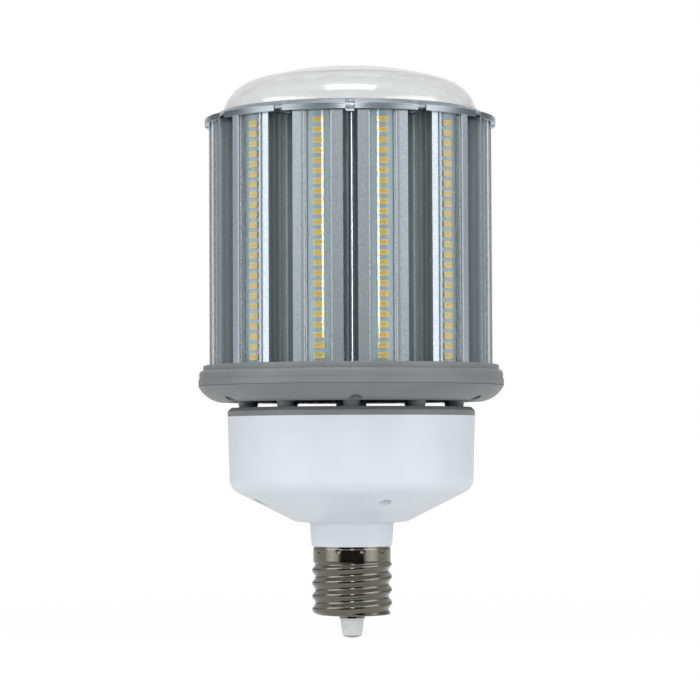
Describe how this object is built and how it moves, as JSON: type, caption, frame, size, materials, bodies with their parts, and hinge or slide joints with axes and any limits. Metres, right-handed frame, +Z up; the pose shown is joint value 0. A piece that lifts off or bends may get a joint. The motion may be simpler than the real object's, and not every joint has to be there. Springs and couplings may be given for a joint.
{
  "type": "led light bulb",
  "caption": "Large LED lamp: clear dome, fluted aluminium heat sink with LED strips all round, grey vented collar, white driver housing and a screw base.",
  "frame": {"origin": "tip of the centre contact, on the lamp's axis", "axes": "+Z up the axis from the screw base to the dome, -Y to the front, where the seam shows"},
  "size_m": [0.1494, 0.1494, 0.2791],
  "materials": {
    "clear_cover": "clear moulded plastic",
    "ring_metal": "brushed",
    "sink_metal": "satin anodised extrusion",
    "board_white": "satin solder mask on aluminium",
    "led_yellow": "phosphor in clear resin",
    "grey_plastic": "fine moulded texture",
    "white_plastic": "satin moulded",
    "nickel_plate": "bright nickel plate on brass",
    "white_ceramic": "glazed",
    "contact_metal": "dull solder",
    "board_green": "solder mask",
    "winding_tape": "taped winding",
    "can_sleeve": "shrink sleeve",
    "ferrite": "sintered",
    "lead_sleeve": "insulated wire",
    "screw_steel": "zinc plated"
  },
  "bodies": {
    "root": {"dome_cover": "clear_cover", "strip_cover_01": "clear_cover", "strip_cover_02": "clear_cover", "strip_cover_03": "clear_cover", "strip_cover_04": "clear_cover", "strip_cover_05": "clear_cover", "strip_cover_06": "clear_cover", "strip_cover_07": "clear_cover", "strip_cover_08": "clear_cover", "strip_cover_09": "clear_cover", "strip_cover_10": "clear_cover", "strip_cover_11": "clear_cover", "strip_cover_12": "clear_cover", "top_plate": "ring_metal", "heat_sink_right": "sink_metal", "heat_sink_left": "sink_metal", "top_led_board": "board_white", "led_board_01": "board_white", "led_board_02": "board_white", "led_board_03": "board_white", "led_board_04": "board_white", "led_board_05": "board_white", "led_board_06": "board_white", "led_board_07": "board_white", "led_board_08": "board_white", "led_board_09": "board_white", "led_board_10": "board_white", "led_board_11": "board_white", "led_board_12": "board_white", "top_leds": "led_yellow", "leds_01": "led_yellow", "leds_02": "led_yellow", "leds_03": "led_yellow", "leds_04": "led_yellow", "leds_05": "led_yellow", "leds_06": "led_yellow", "leds_07": "led_yellow", "leds_08": "led_yellow", "leds_09": "led_yellow", "leds_10": "led_yellow", "leds_11": "led_yellow", "leds_12": "led_yellow", "collar": "grey_plastic", "bowl": "grey_plastic", "driver_cap": "grey_plastic", "driver_housing": "white_plastic", "screw_shell": "nickel_plate", "base_insulator": "white_ceramic", "centre_contact": "contact_metal", "driver_board": "board_green", "transformer": "winding_tape", "capacitors": "can_sleeve", "choke": "ferrite", "input_leads": "lead_sleeve", "led_leads": "lead_sleeve", "plate_screws": "screw_steel", "collar_screws": "screw_steel", "bowl_screws": "screw_steel", "post_screws": "screw_steel", "housing_screws": "screw_steel"}
  },
  "joints": []
}
